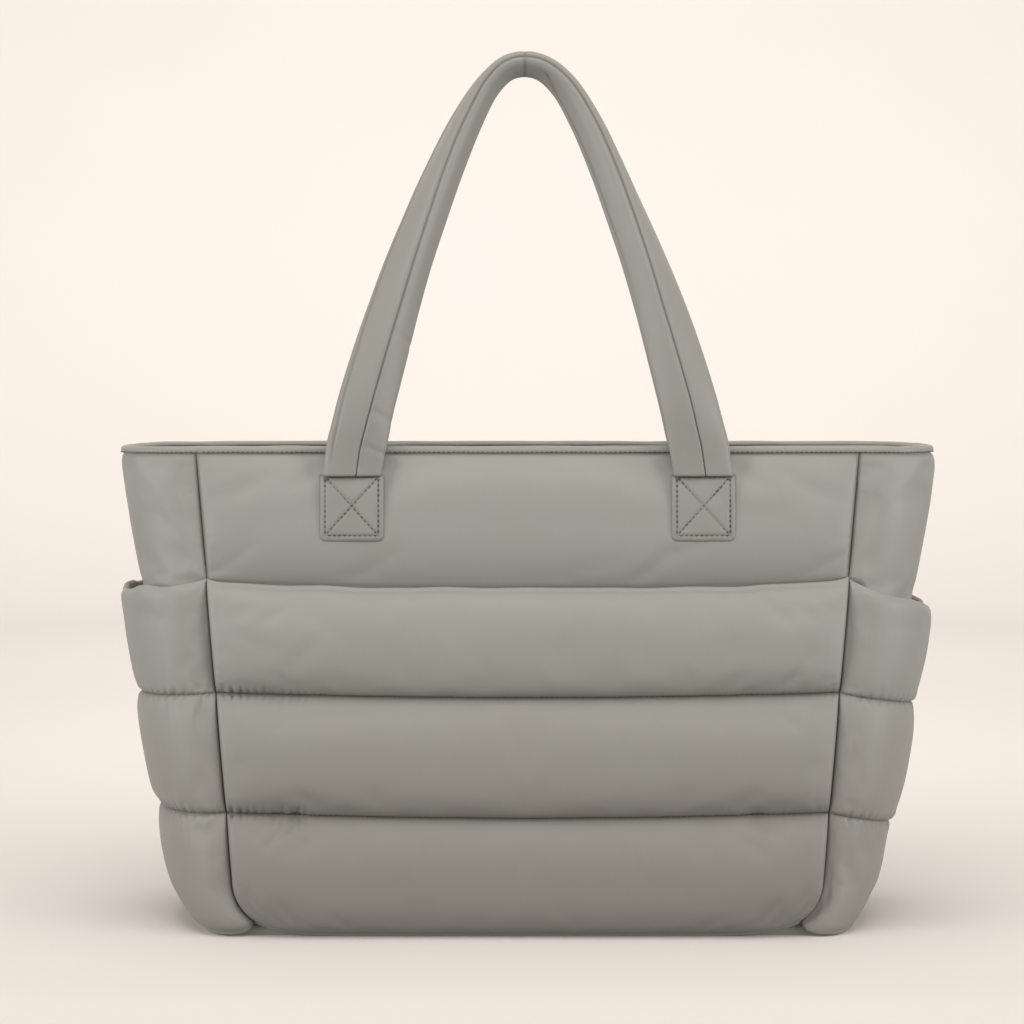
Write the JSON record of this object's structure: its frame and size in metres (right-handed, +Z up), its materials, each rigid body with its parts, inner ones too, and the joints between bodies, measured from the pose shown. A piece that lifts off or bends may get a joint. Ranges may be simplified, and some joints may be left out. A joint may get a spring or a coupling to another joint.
{
  "type": "puffer tote bag",
  "caption": "Quilted padded tote with an open top, a tapered body, padded hand straps on sewn square patches, a quilted front layer and open pockets round its ends.",
  "frame": {"origin": "on the floor, at the middle of the flat base", "axes": "+Z up, +X along the width with the left end at -X, front facing -Y"},
  "size_m": [0.4786, 0.176, 0.5056],
  "materials": {
    "shell_fabric": "matte coated nylon, padded",
    "trim_fabric": "matte coated nylon strap"
  },
  "bodies": {
    "root": {"base_panel": "shell_fabric", "front_panel": "shell_fabric", "back_panel": "shell_fabric", "left_gusset": "shell_fabric", "right_gusset": "shell_fabric", "front_pocket": "shell_fabric", "back_pocket": "shell_fabric", "left_side_pocket": "shell_fabric", "right_side_pocket": "shell_fabric", "rim_binding": "trim_fabric", "front_handle": "trim_fabric", "back_handle": "trim_fabric", "front_left_patch": "trim_fabric", "front_right_patch": "trim_fabric", "back_left_patch": "trim_fabric", "back_right_patch": "trim_fabric"}
  },
  "joints": []
}
